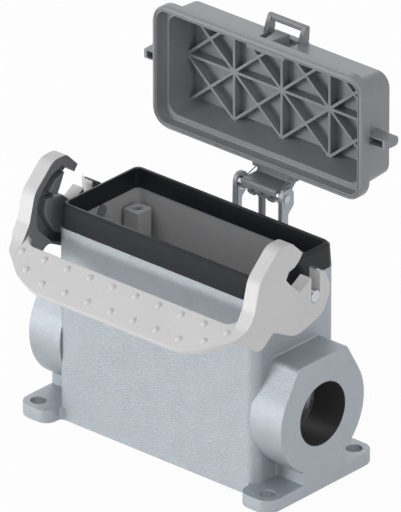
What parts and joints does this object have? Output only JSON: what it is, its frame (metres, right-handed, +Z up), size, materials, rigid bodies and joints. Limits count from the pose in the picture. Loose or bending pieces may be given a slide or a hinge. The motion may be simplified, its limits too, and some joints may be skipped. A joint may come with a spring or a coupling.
{
  "type": "heavy duty rectangular connector housing",
  "caption": "Surface-mount metal connector housing with two side cable entries, a rim gasket, one front locking lever and a hinged protective lid, both shown open.",
  "frame": {"origin": "centre of the mounting hole pattern, on the base plane", "axes": "+X along the housing towards the right cable entry, +Y to the back where the lid is hinged, +Z up out of the open mouth"},
  "size_m": [0.116, 0.0968, 0.1424],
  "materials": {
    "casting": "powder coated, satin, fine grained",
    "gasket": "matte",
    "lever": "satin",
    "lid": "satin",
    "pivot_steel": "plated, satin",
    "hinge_steel": "plated, satin",
    "spring_steel": "bright"
  },
  "bodies": {
    "housing": {"housing_body": "casting", "rim_gasket": "gasket", "lever_pivot_pin_left": "pivot_steel", "lever_pivot_pin_right": "pivot_steel", "lid_hinge_pin": "hinge_steel", "lid_spring_left": "spring_steel", "lid_spring_right": "spring_steel"},
    "lever": {"locking_lever": "lever"},
    "lid": {"protective_lid": "lid"}
  },
  "joints": [
    {"name": "lever_pivot", "type": "hinge", "parent": "housing", "child": "lever", "pos_m": [0, 0, 0.0724], "axis": [-1, 0, 0], "range_deg": [0, 43]},
    {"name": "lid_hinge", "type": "hinge", "parent": "housing", "child": "lid", "pos_m": [0, 0.0342, 0.08225], "axis": [1, 0, 0], "range_deg": [0, 90], "deforming": ["lid_spring_left", "lid_spring_right"]}
  ]
}
